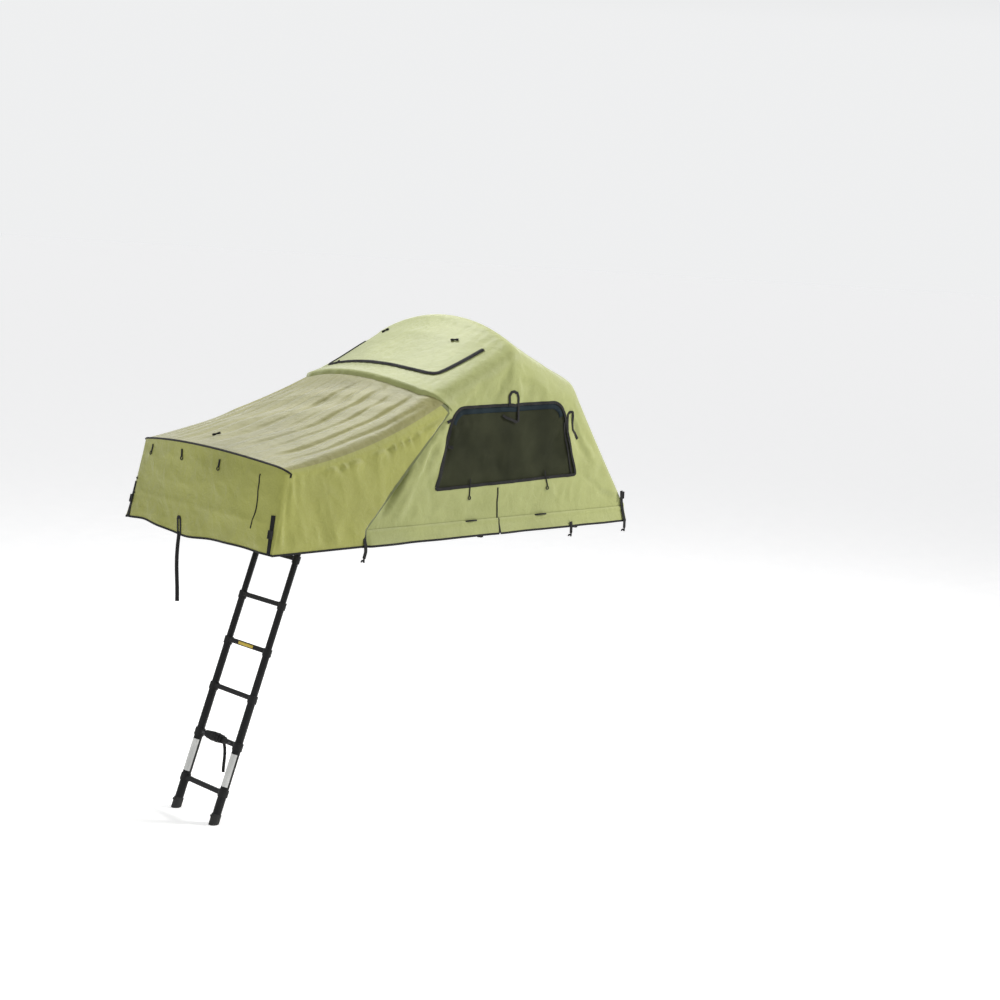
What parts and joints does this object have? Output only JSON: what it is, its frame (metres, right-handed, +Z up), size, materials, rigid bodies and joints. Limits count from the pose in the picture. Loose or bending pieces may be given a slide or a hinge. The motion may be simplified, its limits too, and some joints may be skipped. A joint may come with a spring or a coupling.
{
  "type": "roof top tent",
  "caption": "Fold-out roof top tent with a hinged base, hooped canopy, mesh windows, an overhanging vestibule and a telescopic ladder.",
  "frame": {"origin": "midway between the four bar clamps, on the axes of the roof bars", "axes": "+X along the roof bars to the closed end, -X to the ladder; -Y to the window side seen in the picture; +Z up"},
  "size_m": [3.12, 1.5154, 3.1159],
  "materials": {
    "frame_aluminium": "satin mill finish",
    "floor_panel": "painted sandwich panel",
    "mattress_fabric": "woven cover over foam",
    "black_steel": "black powder coat",
    "zinc_steel": "zinc plated",
    "black_rail": "black anodised look",
    "black_plastic": "fine grain",
    "hoop_aluminium": "satin",
    "canopy_fabric": "coated poly-cotton",
    "vestibule_fabric": "coated poly-cotton",
    "mesh": "fine insect mesh",
    "webbing": "woven webbing",
    "ladder_tube": "black anodised",
    "ladder_plastic": "fine grain",
    "foot_rubber": "matt"
  },
  "bodies": {
    "fixed_base": {"fixed_frame": "frame_aluminium", "fixed_panel": "floor_panel", "fixed_mattress": "mattress_fabric", "fixed_hinge_plates": "black_steel", "hinge_pins": "zinc_steel", "hoop_pivot_studs": "zinc_steel", "fixed_fabric_rails": "frame_aluminium", "hinge_rail": "black_rail", "end_rail": "black_rail", "rail_end_caps": "black_plastic", "clamp_saddles": "black_plastic", "clamp_jaws": "black_plastic", "clamp_bolts": "zinc_steel", "clamp_nuts": "zinc_steel", "main_canopy": "canopy_fabric", "near_window_mesh": "mesh", "far_window_mesh": "mesh", "skylight_flap": "canopy_fabric", "skirt": "canopy_fabric", "inner_door": "mesh", "hem_straps": "webbing"},
    "foldout_base": {"foldout_frame": "frame_aluminium", "foldout_panel": "floor_panel", "foldout_mattress": "mattress_fabric", "foldout_hinge_plates": "black_steel", "foldout_fabric_rails": "frame_aluminium", "vestibule_brackets": "black_steel", "vestibule_pivot_studs": "zinc_steel", "ladder_brackets": "black_steel", "ladder_pivot_bolts": "zinc_steel", "vestibule_canopy": "vestibule_fabric", "vestibule_end_wall": "vestibule_fabric", "end_strap_tail": "webbing"},
    "front_hoop_body": {"front_hoop": "hoop_aluminium", "front_hoop_ends": "black_plastic"},
    "ridge_hoop_body": {"ridge_hoop": "hoop_aluminium", "ridge_hoop_ends": "black_plastic"},
    "rear_hoop_body": {"rear_hoop": "hoop_aluminium", "rear_hoop_ends": "black_plastic"},
    "vestibule_hoop_body": {"vestibule_hoop": "hoop_aluminium", "vestibule_hoop_ends": "black_plastic"},
    "ladder_head": {"ladder_head_tubes": "ladder_tube", "ladder_head_rung": "ladder_plastic"},
    "ladder_section_5": {"ladder_tubes_5": "ladder_tube", "rung_5": "ladder_plastic"},
    "ladder_section_4": {"ladder_tubes_4": "ladder_tube", "rung_4": "ladder_plastic"},
    "ladder_section_3": {"ladder_tubes_3": "ladder_tube", "rung_3": "ladder_plastic"},
    "ladder_section_2": {"ladder_tubes_2": "ladder_tube", "rung_2": "ladder_plastic"},
    "ladder_base": {"ladder_base_tubes": "ladder_tube", "ladder_base_rungs": "ladder_plastic", "ladder_feet": "foot_rubber"},
    "button_left": {"release_button_left": "black_plastic"},
    "button_right": {"release_button_right": "black_plastic"},
    "knob_1": {"clamp_knob_1": "black_plastic"},
    "knob_2": {"clamp_knob_2": "black_plastic"},
    "knob_3": {"clamp_knob_3": "black_plastic"},
    "knob_4": {"clamp_knob_4": "black_plastic"}
  },
  "joints": [
    {"name": "base_fold", "type": "hinge", "parent": "fixed_base", "child": "foldout_base", "pos_m": [-0.545, 0, 0.243], "axis": [0, 1, 0], "range_deg": [0, 180], "deforming": ["main_canopy", "near_window_mesh", "far_window_mesh", "skylight_flap", "skirt", "inner_door", "hem_straps", "vestibule_canopy", "vestibule_end_wall", "end_strap_tail"]},
    {"name": "front_hoop_fold", "type": "hinge", "parent": "fixed_base", "child": "front_hoop_body", "pos_m": [-0.505, 0, 0.289], "axis": [0, 1, 0], "range_deg": [0, 131.3]},
    {"name": "ridge_hoop_fold", "type": "hinge", "parent": "fixed_base", "child": "ridge_hoop_body", "pos_m": [-0.465, 0, 0.221], "axis": [0, 1, 0], "range_deg": [0, 87.5]},
    {"name": "rear_hoop_fold", "type": "hinge", "parent": "fixed_base", "child": "rear_hoop_body", "pos_m": [-0.425, 0, 0.193], "axis": [0, 1, 0], "range_deg": [0, 52.1]},
    {"name": "vestibule_hoop_fold", "type": "hinge", "parent": "foldout_base", "child": "vestibule_hoop_body", "pos_m": [-1.807, 0, 0.223], "axis": [0, 1, 0], "range_deg": [0, 148.5]},
    {"name": "ladder_swing", "type": "hinge", "parent": "foldout_base", "child": "ladder_head", "pos_m": [-1.697, 0, 0.048], "axis": [0, 1, 0], "range_deg": [0, 50]},
    {"name": "ladder_section_5_slide", "type": "slide", "parent": "ladder_head", "child": "ladder_section_5", "axis": [0.3256, 0, 0.9455], "range_m": [0, 0.09]},
    {"name": "ladder_section_4_slide", "type": "slide", "parent": "ladder_section_5", "child": "ladder_section_4", "axis": [0.3256, 0, 0.9455], "range_m": [0, 0.245]},
    {"name": "ladder_section_3_slide", "type": "slide", "parent": "ladder_section_4", "child": "ladder_section_3", "axis": [0.3256, 0, 0.9455], "range_m": [0, 0.245]},
    {"name": "ladder_section_2_slide", "type": "slide", "parent": "ladder_section_3", "child": "ladder_section_2", "axis": [0.3256, 0, 0.9455], "range_m": [0, 0.245]},
    {"name": "ladder_base_slide", "type": "slide", "parent": "ladder_section_2", "child": "ladder_base", "axis": [0.3256, 0, 0.9455], "range_m": [0, 0.245]},
    {"name": "release_left", "type": "slide", "parent": "ladder_base", "child": "button_left", "axis": [0, 1, 0], "range_m": [0, 0.008], "stiffness_N_per_m": 400, "springref_m": -0.003},
    {"name": "release_right", "type": "slide", "parent": "ladder_base", "child": "button_right", "axis": [0, -1, 0], "range_m": [0, 0.008], "stiffness_N_per_m": 400, "springref_m": -0.003},
    {"name": "knob_1_turn", "type": "hinge", "parent": "fixed_base", "child": "knob_1", "pos_m": [-0.455, -0.4753, -0.04], "axis": [0, 0, 1], "continuous": true},
    {"name": "knob_2_turn", "type": "hinge", "parent": "fixed_base", "child": "knob_2", "pos_m": [0.455, -0.4753, -0.04], "axis": [0, 0, 1], "continuous": true},
    {"name": "knob_3_turn", "type": "hinge", "parent": "fixed_base", "child": "knob_3", "pos_m": [-0.455, 0.4753, -0.04], "axis": [0, 0, 1], "continuous": true},
    {"name": "knob_4_turn", "type": "hinge", "parent": "fixed_base", "child": "knob_4", "pos_m": [0.455, 0.4753, -0.04], "axis": [0, 0, 1], "continuous": true}
  ],
  "couplings": [
    {"joint": "front_hoop_fold", "follows": "base_fold", "ratio": 0.7294},
    {"joint": "ridge_hoop_fold", "follows": "base_fold", "ratio": 0.4861},
    {"joint": "rear_hoop_fold", "follows": "base_fold", "ratio": 0.2894},
    {"joint": "vestibule_hoop_fold", "follows": "base_fold", "ratio": 0.825}
  ]
}
